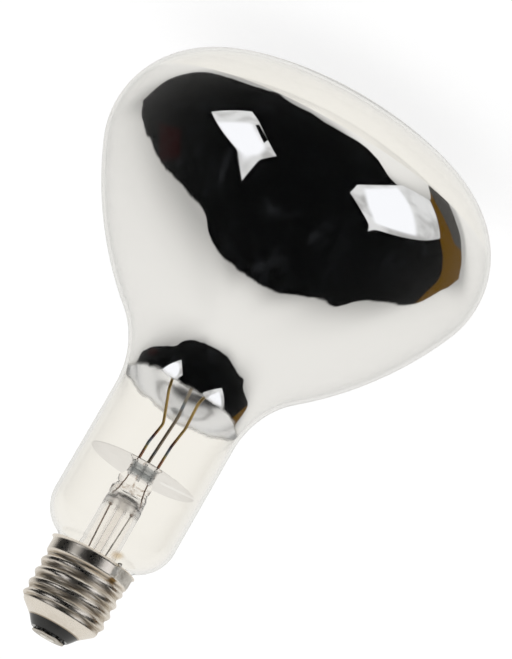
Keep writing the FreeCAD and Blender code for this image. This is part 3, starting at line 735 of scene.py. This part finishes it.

# %% [markdown]
# The mirror is aluminium on glass, so it is a plain shiny metal. Two marks painted on
# its points steer it: where it thins out at the neck it turns smoky and clear, and
# its inner side is duller. Towards the thin neck edge its colour turns darker and
# warmer, partly the thin film's own smoke and partly painted shade of the dimmer
# room that it shows there. The real flare is a little fuller than its plain arc, so
# the shading there leans a few degrees more towards the cap.

# %% Mirror's finish
INNER_DULL, WISP_REACH = 0.14, 0.9
FLARE_FROM, FLARE_MOST, FLARE_TO, FLARE_LEAN = 84 * MM, 95.5 * MM, 103.5 * MM, 0.115
mirror, mirror_tree, mirror_shader = new_finish("mirror_film", Metallic=1.0)
thinning, inner_side = (add_node("Attribute", tree=mirror_tree, attribute_name=name).outputs["Fac"]
                        for name in ("thinning", "inner_side"))
mirror_place = object_place(mirror_tree)
wisps = minus(noise(mirror_place, 190.0, 4.0, 0.6, 0.4), 0.5)
worn = scaled(wisps, WISP_REACH, thinning)
film_rough = spread(worn, 0.05, 0.75, 0.025, 0.22)
# Partly painted shade: darker and warmer towards the neck edge, for the thin film's smoke and the dimmer
# room it shows
film_smoke_and_shade = blend(spread(thinning, 0.0, 0.8), (0.972, 0.976, 0.985, 1), (0.88, 0.87, 0.84, 1))
give(mirror_shader, Alpha=spread(worn, 0.75, 0.30), Base_Color=film_smoke_and_shade,
     Roughness=scaled(inner_side, INNER_DULL, film_rough))
mirror_z = axes_of(mirror_place)["Z"]
on_flare = times(spread(mirror_z, FLARE_FROM, FLARE_MOST),
                 spread(mirror_z, FLARE_MOST, FLARE_TO, FLARE_LEAN, 0.0))
lean = add_node("CombineXYZ", {"Z": on_flare}).outputs[0]
film_way = vector_step("ADD", surface(mirror_tree)["Normal"], to_world(lean, "VECTOR"))
give(mirror_shader, Normal=vector_step("NORMALIZE", film_way))
print("mirror: %d nodes" % len(mirror_tree.nodes))

# %% [markdown]
# Mica looks silvery from a low angle, so it is made as a bright metal. A pale band
# is painted over it along the step where a leaf has split off: a painted highlight
# of the split's edge. Its rim and its back faces are clear, or else light trapped
# between the leaves would draw a dark line round the disc.

# %% Mica's finish
RIM_SEEN, RIM_STEEP, FLAT = 0.04, 0.90, 0.99
STEP_START, STEP_SLOPE, STEP_HALF = 5.6 * MM, 0.38, 2.0 * MM
mica, mica_tree, mica_shader = new_finish("mica", Metallic=1.0)
mica_flakes = use_group(mica_tree, age, Clean=(0.90, 0.88, 0.86, 1), Stained=(0.80, 0.78, 0.75, 1),
                        Amount=0.5, Scale=160.0, Smooth=0.03, Rough=0.09)
mica_at = axes_of(object_place(mica_tree))
step_line = scaled(mica_at["X"], STEP_SLOPE, STEP_START * STEP_SLOPE)
off_step = reckon("ABSOLUTE", minus(mica_at["Y"], step_line))
split_edge_highlight = times(spread(off_step, STEP_HALF * 0.7, STEP_HALF, 1.0, 0.0),
                   spread(mica_at["X"], -STEP_START - MM, -STEP_START, 1.0, 0.0))
mica_face = surface(mica_tree)
from_outside = minus(1.0, mica_face["Backfacing"])
level_share = reckon("ABSOLUTE", axes_of(mica_face["Normal"])["Z"])
# Painted highlight: the pale band along the split's step
give(mica_shader, Base_Color=blend(split_edge_highlight, mica_flakes["Color"], (1.0, 0.995, 0.98, 1)),
     Roughness=mica_flakes["Roughness"],
     Alpha=times(from_outside, spread(level_share, RIM_STEEP, FLAT, RIM_SEEN, 1.0)))
print("mica: %d nodes" % len(mica_tree.nodes))

# %% [markdown]
# The bulb's outline. Blown glass takes the shape of its mould, and this one is a
# chain of arcs that touch each other: the shallow face, a tight shoulder, the
# reflector, the flare, the straight neck, the neck's shoulder and the narrow waist
# inside the cap. A skin under the surface is the same chain with each radius changed
# by its depth.

# %% Bulb outline
TOP = 185.5
FACE_R, SHOULDER_R, REFLECTOR_R, FLARE_R = 117.0, 27.4, 115.8, 30.9
BULB_R, NECK_R, BEND_R, WAIST_R, WAIST_ARC = 62.6, 20.1, 12.0, 12.0, 2.5
BEND_Z, SEAL_Z = TOP - 40.2, TOP - 17.0
START, TAPER = radians(23.3), radians(12.0)
OUTLINE_STEP, BEND_STEP, NECK_POINTS = 1.7, 0.5, 14


def leg(longest, other):
    """The third side of a right-angled triangle."""
    return sqrt(longest ** 2 - other ** 2)


shoulder_at = (BULB_R - SHOULDER_R, FACE_R - leg(FACE_R - SHOULDER_R, BULB_R - SHOULDER_R))
reflector_at = (shoulder_at[0] - (REFLECTOR_R - SHOULDER_R) * cos(START),
                shoulder_at[1] - (REFLECTOR_R - SHOULDER_R) * sin(START))
flare_at = (NECK_R + FLARE_R,
            reflector_at[1] + leg(REFLECTOR_R + FLARE_R, NECK_R + FLARE_R - reflector_at[0]))
bend_at = (NECK_R - BEND_R, BEND_Z)
waist_at = (WAIST_R + WAIST_ARC, BEND_Z + leg(BEND_R + WAIST_ARC, WAIST_R + WAIST_ARC - bend_at[0]))


def angle_to(start, end):
    return atan2(end[1] - start[1], end[0] - start[0])


def arc_points(centre, radius, start, end, step):
    """Points along an arc, as (radius, height) pairs."""
    count = max(3, ceil(abs(end - start) * radius / step))
    turns = np.linspace(start, end, count + 1)
    return [(centre[0] + radius * cos(t), centre[1] + radius * sin(t)) for t in turns]


def bulb_section(depth, step=OUTLINE_STEP):
    """The outline from the middle of the face to the seal, at a depth below the outside."""
    face_end = angle_to((0, FACE_R), shoulder_at)
    flare_meet = angle_to(reflector_at, flare_at)
    waist_meet = angle_to(bend_at, waist_at)
    points = arc_points((0, FACE_R), FACE_R - depth, -pi / 2, face_end, step)
    points += arc_points(shoulder_at, SHOULDER_R - depth, face_end, START, step)[1:]
    points += arc_points(reflector_at, REFLECTOR_R - depth, START, flare_meet, step)[1:]
    points += arc_points(flare_at, FLARE_R + depth, flare_meet + pi, pi, step)[1:]
    points += [(NECK_R - depth, z) for z in np.linspace(flare_at[1], BEND_Z, NECK_POINTS)[1:]]
    points += arc_points(bend_at, BEND_R - depth, 0, waist_meet, BEND_STEP)[1:]
    points += arc_points(waist_at, WAIST_ARC + depth, waist_meet + pi, pi + TAPER, BEND_STEP)[1:]
    last = points[-1]
    points.append((last[0] - (SEAL_Z - last[1]) * tan(TAPER), SEAL_Z))
    return points


outside = bulb_section(0)
print("outline: %d points, widest %.1f mm" % (len(outside), max(r for r, z in outside)))

# %% [markdown]
# The glass is a wall of even thickness. Its section runs up the outside and back
# down the inside, and is turned once round the axis.

# %% Glass envelope
WALL, COLUMNS = 1.0, 288
glass_rows = turned_rows(outside + bulb_section(WALL)[::-1], COLUMNS)
make_piece("bulb_glass", glass_rows, "clear_glass", clear_glass, "glass_envelope")

# %% [markdown]
# The mirror. Aluminium is boiled off inside the bulb and settles on the glass. It
# stops in a crisp ring at the face and in a thin, smoky, crooked edge in the neck.
# So the film is a thin closed skin just inside the wall, its neck edge runs askew,
# and a painted mark on its points says how thin it is there.

# %% Mirror film
FILM_DEPTH, FILM_SHEET, FILM_STEP, FILM_ROWS = WALL + 0.12, 0.1, 0.4, 150
FACE_EDGE_Z, NECK_EDGE_Z, PAST_FACE, HAZE = 25.0, 106.5, 40.0, 3.2
TILT_X, TILT_Y = radians(3.4), radians(2.7)


def film_line(depth):
    """The radii and heights of the wall past its face, at a depth below the outside."""
    line = np.array(bulb_section(depth, FILM_STEP))
    return line[int(np.argmax(line[:, 0] > PAST_FACE)):].T


def film_rows(depth, low, high):
    """Rows of a skin between two edges, each given by column."""
    radius, level = film_line(depth)
    heights = low + (high - low) * np.linspace(0, 1, FILM_ROWS)[:, None]
    return around(np.interp(heights, level, radius), angles(COLUMNS), heights)


film_angle = angles(COLUMNS)
face_edge = FACE_EDGE_Z + 0.12 * np.sin(3 * film_angle + 0.6) + 0.08 * np.sin(7 * film_angle)
neck_edge = (NECK_EDGE_Z + 20 * (tan(TILT_X) * np.sin(film_angle) - tan(TILT_Y) * np.cos(film_angle))
             + 0.35 * np.sin(4 * film_angle + 1.1) + 0.25 * np.sin(9 * film_angle + 0.4))
film_out = film_rows(FILM_DEPTH, face_edge, neck_edge)
film_in = film_rows(FILM_DEPTH + FILM_SHEET, face_edge, neck_edge)
film = skin("mirror_film", np.concatenate([film_out, film_in[::-1]]), loop=True)
thin_marks = film.data.attributes.new("thinning", "FLOAT", "POINT")
inner_marks = film.data.attributes.new("inner_side", "FLOAT", "POINT")
middle_radius, middle_level = film_line(FILM_DEPTH + FILM_SHEET / 2)
for place, thin_mark, inner_mark in zip(film.data.vertices, thin_marks.data, inner_marks.data):
    from_axis, level = hypot(place.co.x, place.co.y) / MM, place.co.z / MM
    inner_mark.value = from_axis < np.interp(level, middle_level, middle_radius)
    turn = atan2(place.co.y, place.co.x) % tau
    edge = np.interp(turn, film_angle, neck_edge, period=tau)
    thin_mark.value = min(max(1 - (edge - level) / HAZE, 0), 1)
finish_piece(film, "mirror_film", mirror, "reflector_coating")

# %% [markdown]
# The cap is pressed from thin sheet, and its thread is a wave that runs round the
# wall. The wave shifts by one pitch for each turn, and dies out at both ends. The
# same rows make the outside and the inside, one sheet apart.

# %% Cap shell
RIM_Z, RIM_R, RIM_TALL, COLLAR_R, SHEET = TOP - 27.3, 13.75, 0.7, 13.05, 0.3
PITCH, CREST_Z, THREAD_LOW, THREAD_DEPTH, FADE = 3.629, TOP - 8.75, TOP - 23.7, 1.0, 1.6
END_R, END_Z, CONE, END_BEND, LAND = 8.0, TOP - 3.9, radians(40.0), 1.0, 0.1
ROOT_R = COLLAR_R - THREAD_DEPTH
BEND_REACH = END_BEND * tan((pi / 2 - CONE) / 2)
THREAD_HIGH = END_Z - (ROOT_R - END_R) * tan(CONE) - BEND_REACH - LAND
CAP_STEP, CAP_COLUMNS = 0.12, 240


def cap_section(depth):
    """(crest radius, height, groove depth) up the cap from its rim, at a depth below the outside."""
    wall, root = COLLAR_R - depth, ROOT_R - depth
    rows = [(RIM_R - depth, RIM_Z, 0), (RIM_R - 0.28 - depth, RIM_Z + 0.18, 0),
            (wall + 0.18, RIM_Z + 0.5, 0), (wall + 0.03, RIM_Z + RIM_TALL, 0)]
    rows += [(wall, z, 0) for z in np.linspace(RIM_Z + RIM_TALL + 0.25, THREAD_LOW, 10)]
    for z in np.arange(THREAD_LOW + CAP_STEP, THREAD_HIGH, CAP_STEP):
        share = min((z - THREAD_LOW) / FADE, 1)
        slope = root + (THREAD_HIGH - z) / tan(CONE)
        crest = wall - 0.12 * log(1 + exp((wall - slope) / 0.12))
        crest = max(crest, root)
        rows.append((crest, z, (crest - root) * share * share * (3 - 2 * share)))
    end_r, end_z = END_R - depth * sin(CONE), END_Z - depth * cos(CONE)
    bend = END_BEND - depth
    centre = (root - bend, THREAD_HIGH + LAND)
    rows += [(r, z, 0) for r, z in arc_points(centre, bend, 0, pi / 2 - CONE, CAP_STEP)]
    last_r, last_z = rows[-1][:2]
    rows += [(last_r + (end_r - last_r) * s, last_z + (end_z - last_z) * s, 0)
             for s in np.linspace(0, 1, 8)[1:]]
    return np.array(rows)


def cap_rows(depth):
    """Rows up the cap, with the wave of the thread pressed into them."""
    radius, level, groove = cap_section(depth).T[:, :, None]
    angle = angles(CAP_COLUMNS)
    wave = np.cos(tau * (level - CREST_Z) / PITCH - angle)
    return around(radius - groove * (1 - wave) / 2, angle, level)


make_piece("screw_shell", np.concatenate([cap_rows(0), cap_rows(SHEET)[::-1]]), "plated_brass", cap_metal,
           "cap_shell", loop=True, sharp=65)

# %% [markdown]
# The stem. A glass tube was heated and squeezed flat around the wires, and flares
# out at its other end to meet the neck. The squeeze leaves soft lobes at its sides.
# So each row of the skin is a rounded outline of its own width and thickness, and
# the inside of the tube is a second set of rows.

# %% Glass stem
PRESS_Z = TOP - 56.7 + 0.25
STEM_COLUMNS, STEM_STEPS = 96, 4
FLARE_MEET, FLARE_END = 10.16, 11.18


def rounds(*stations):
    """Round stations, from (height, radius) pairs."""
    return [(height, radius, radius, radius, 2.0) for height, radius in stations]


# Height above the press's foot, half width to each side, half thickness, squareness
outside_stations = [
    (0.0, 3.9, 3.9, 2.0, 5.0), (0.25, 4.3, 4.2, 2.3, 5.0), (2.0, 4.4, 4.3, 2.3, 4.5),
    (2.6, 5.0, 4.7, 2.25, 4.0), (3.8, 5.7, 5.2, 2.3, 3.2), (4.9, 5.5, 5.1, 2.3, 3.0),
    (5.6, 4.9, 4.9, 2.5, 2.8), (6.3, 5.3, 5.1, 2.9, 2.6), (7.6, 6.1, 5.6, 3.6, 2.4),
    (8.8, 6.0, 5.6, 4.4, 2.2), (10.0, 5.7, 5.7, 5.2, 2.1)]
outside_stations += rounds((11.6, 5.9), (16.0, 5.9), (24.0, 5.95), (29.0, 6.1), (32.0, 6.4), (34.5, 7.2),
                           (37.0, 8.6), (39.35, FLARE_MEET), (39.45, FLARE_END), (40.3, FLARE_END))
inside_stations = rounds((40.35, 9.6), (37.6, 7.6), (34.8, 6.0), (32.0, 5.3), (24.0, 4.85), (14.0, 4.8))
inside_stations += [
    (11.6, 4.65, 4.65, 4.5, 2.0), (10.4, 4.0, 4.0, 3.7, 2.0), (9.5, 2.9, 2.9, 2.5, 2.0),
    (9.1, 1.5, 1.5, 1.3, 2.0), (9.0, 0.0, 0.0, 0.0, 2.0)]


def squared_round(stations):
    """Rows of rounded outlines, eased between stations."""
    table = np.array(stations, float)
    pace = np.linspace(0, len(table) - 1, (len(table) - 1) * STEM_STEPS + 1)
    before = np.minimum(pace.astype(int), len(table) - 2)
    share = pace - before
    share = share * share * (3 - 2 * share)
    rows = table[before] * (1 - share)[:, None] + table[before + 1] * share[:, None]
    rows[:, 0] = np.interp(pace, np.arange(len(table)), table[:, 0])
    angle = angles(STEM_COLUMNS)
    cosine, sine = np.cos(angle), np.sin(angle)
    result = []
    for height, left, right, thick, square in rows:
        reach = (np.abs(cosine) ** square + np.abs(sine) ** square) ** (-1 / square)
        width = np.where(cosine > 0, left, right)
        level = np.full(STEM_COLUMNS, PRESS_Z + height)
        result.append(np.stack([width * reach * cosine, thick * reach * sine, level], -1))
    return np.array(result)


press_foot = np.zeros((1, STEM_COLUMNS, 3)) + np.array([0, 0, PRESS_Z])
stem_rows = np.concatenate([press_foot, squared_round(outside_stations), squared_round(inside_stations)])
make_piece("glass_stem_blown", stem_rows, "stem_glass", stem_glass, "glass_stem", sharp=50)

# %% [markdown]
# The heat shield is a leaf of mica, split from a block by hand. It is clear and
# glossy, its rim is flaked, and on one side the lower of its two leaves has lost
# more of its rim. A hair's breadth parts the leaves.

# %% Mica disc
DISC_Z, DISC_R, DISC_THICK, DISC_COLUMNS, FEATHER = TOP - 56.7, 17.3, 0.25, 180, 0.05
LOWER_TOP, UPPER_FOOT = DISC_THICK * 0.6, DISC_THICK * 0.61
SPLIT_BEARING, SPLIT_SPREAD = radians(210), 0.5
rng = np.random.default_rng(7)
disc_angle = angles(DISC_COLUMNS)
flakes = np.interp(disc_angle, np.linspace(0, tau, 41), np.append(rng.uniform(0, 1, 40), 0.5))
split_side = np.exp(-((disc_angle - SPLIT_BEARING) / SPLIT_SPREAD) ** 2)
disc_rim = DISC_R - 0.12 * flakes - 0.55 * split_side * rng.uniform(0.2, 1, DISC_COLUMNS)


def leaf_rows(rim, low, high, feather=0.0):
    """Rows of a thin leaf: out along its lower side from the middle and back over its upper side."""
    lower_side = [(share, low) for share in (0, 0.5, 0.8, 1)]
    upper_side = [(1, high - feather)] + [(share, high) for share in (0.975, 0.8, 0.5, 0)]
    return np.array([around(rim * share, disc_angle, DISC_Z + level)
                     for share, level in lower_side + upper_side])


upper_rows = leaf_rows(DISC_R - 0.1 * flakes, UPPER_FOOT, DISC_THICK, FEATHER)
make_piece("mica_disc_split", leaf_rows(disc_rim, 0.0, LOWER_TOP), "mica", mica, "mica_disc")
make_piece("mica_leaf_upper", upper_rows, "mica", mica, "mica_disc")

# %% [markdown]
# The filament is a fine tungsten coil, wound like a spring and hung on hooks. A
# helix is laid around the ring between the two clamps, and a thin tube follows it.

# %% Filament coil
FILAMENT_Z, RING_R, COIL_R, WIRE_R, COIL_PITCH = DISC_Z - 44.3, 11.0, 0.58, 0.12, 0.55
RING_START, RING_END, END_RUN = radians(-35), radians(215), 2.6
COIL_STEPS, WIRE_SIDES = 14, 6


def coil_path():
    """Points of the helix along the straight end, the ring and the other end."""
    ring_length = (RING_END - RING_START) * RING_R
    length = ring_length + 2 * END_RUN
    points = []
    for way in np.linspace(-END_RUN, ring_length + END_RUN, int(length / COIL_PITCH * COIL_STEPS)):
        on_ring = min(max(way, 0), ring_length)
        turn = RING_START + on_ring / RING_R
        outward = np.array([cos(turn), sin(turn), 0])
        along = np.array([-sin(turn), cos(turn), 0])
        spin = tau * way / COIL_PITCH
        points.append(outward * RING_R + along * (way - on_ring) + np.array([0, 0, FILAMENT_Z])
                      + COIL_R * (cos(spin) * outward + sin(spin) * np.array([0, 0, 1])))
    return points


coil_rows = tube_rows(coil_path(), WIRE_R, WIRE_SIDES)
make_piece("filament_coil", coil_rows, "tungsten", finishes["tungsten"], "filament", sharp=80)

# %% [markdown]
# The end of the cap is black glass, poured in while soft. Under the contact plate
# its top is hollowed in a ring with bridges, so the plate seems to float over a
# dark gap.

# %% Black glass end and contact plate
END_COLUMNS, GAP_SHARE, GLASS_TOP, INNER_Z, PLATE_Z = 160, 0.76, TOP - 0.7, TOP - 6.9, TOP - 0.3
END_TALL, END_NARROWS = GLASS_TOP - END_Z, 2.65
BRIDGES, BRIDGE_HALF = (238, 268, 298, 30, 100, 160), 3.0
end_angle = angles(END_COLUMNS)
gap = np.ones(END_COLUMNS)
for bridge in BRIDGES:
    gap *= 1 - np.exp(-((np.degrees(end_angle) - bridge) / BRIDGE_HALF) ** 4)
gap_r, gap_z = END_R - END_NARROWS * GAP_SHARE, END_Z + END_TALL * GAP_SHARE
# Radius and height of each ring, round the end's section
end_rings = [(1.0, INNER_Z), (11.1, INNER_Z), (7.8, END_Z - 0.23), (END_R, END_Z)]
end_rings += [(END_R - END_NARROWS * s, END_Z + END_TALL * s + 0.12 * sin(pi * s))
              for s in np.linspace(0.1, GAP_SHARE, 6)]
end_rings += [(gap_r - 0.12 - 1.5 * gap, gap_z + 0.1 + 0.05 * gap), (5.4 - 1.05 * gap, GLASS_TOP - 0.1),
              (5.3 - 1.1 * gap, GLASS_TOP - 0.02), (3.9, GLASS_TOP - 0.01), (1.0, GLASS_TOP)]
end_rows = np.array([around(radius, end_angle, level) for radius, level in end_rings])
make_piece("black_glass_end", end_rows, "black_glass", finishes["black_glass"], "cap_insulator", loop=True)

plate_section = [(1.0, GLASS_TOP), (5.0, GLASS_TOP), (5.2, GLASS_TOP + 0.1), (5.2, PLATE_Z - 0.12),
                 (5.08, PLATE_Z - 0.03), (4.7, PLATE_Z), (1.0, PLATE_Z)]
make_piece("contact_plate", turned_rows(plate_section, END_COLUMNS), "contact_metal",
           finishes["contact_metal"], "centre_contact", loop=True, sharp=35)

# %% [markdown]
# The side lead comes over the rim and is held by a smear of solder that was dabbed
# on with an iron. Its skin follows the collar, and its thickness is a bump with
# ripples, thin and ragged at its edge.

# %% Solder smear
SMEAR_MID, SMEAR_HALF = radians(212), radians(28)
SMEAR_LOW, SMEAR_HIGH = RIM_Z + 0.2, THREAD_LOW + 0.35
SMEAR_THICK, SMEAR_LUMPS, SMEAR_SUNK, UNDER_SUNK = 0.30, 0.05, 0.05, 0.12
WIRE_BEARING, WIRE_SPREAD, WIRE_MOUND = radians(235), radians(4), 0.85
LUMPS_HIGH, LUMPS_WIDE = 7, 12
smear_x, smear_y = np.linspace(-1, 1, 96), np.linspace(-1, 1, 32)
grid_x, grid_y = np.meshgrid(smear_x, smear_y)
lumps = rng.normal(0, 1, (LUMPS_HIGH, LUMPS_WIDE))
lumps = np.array([np.interp(smear_x, np.linspace(-1, 1, LUMPS_WIDE), row) for row in lumps])
lumps = np.array([np.interp(smear_y, np.linspace(-1, 1, LUMPS_HIGH), column) for column in lumps.T]).T
smear_turn = SMEAR_MID + SMEAR_HALF * grid_x
smear_z = SMEAR_LOW + (SMEAR_HIGH - SMEAR_LOW) * (grid_y + 1) / 2
mound = WIRE_MOUND * np.exp(-((smear_turn - WIRE_BEARING) / WIRE_SPREAD) ** 2)
fullness = np.maximum(1 - np.abs(grid_x) ** 6 - np.abs(grid_y) ** 6, 0) ** 0.5
thick = fullness * (SMEAR_THICK + SMEAR_LUMPS * lumps + mound)
wall_line = COLLAR_R + 0.5 * np.clip((RIM_Z + RIM_TALL - smear_z) / RIM_TALL, 0, 1)
top_sheet = around(wall_line + np.maximum(thick, -SMEAR_SUNK), smear_turn, smear_z)
under_sheet = around(wall_line - UNDER_SUNK, smear_turn, smear_z)
smear_rows = np.concatenate([top_sheet, under_sheet[:, ::-1]], axis=1)
make_piece("solder_smear", smear_rows, "solder", finishes["solder_tin"], "side_solder", sharp=70)

# %% [markdown]
# The other pieces keep the frame's own shape and get their finish here.

# %% Dress the frame's own pieces
own_shapes = (
    (stem_glass, "exhaust_tube support_bead"),
    (lead_metal, "inner_lead_left inner_lead_right"),
    (support_metal, "centre_support"),
    (finishes["hook_metal"], "filament_hook_1 filament_hook_2 filament_hook_3 filament_hook_4"
                             " lead_clamp_left lead_clamp_right"),
    (finishes["copper"], "seal_wire_left seal_wire_right outer_lead_centre weld_knot_left weld_knot_right"),
    (finishes["solder_tin"], "centre_solder outer_lead_side"),
    (finishes["cement"], "capping_cement"))
for material, nodes in own_shapes:
    dress(material, *nodes.split())
print("frame pieces dressed: %d finishes" % len(own_shapes))

# %% [markdown]
# The box round the frame, measured when the model was imported, is printed.

# %% Print the frame's box
print("cad box", cad_box)
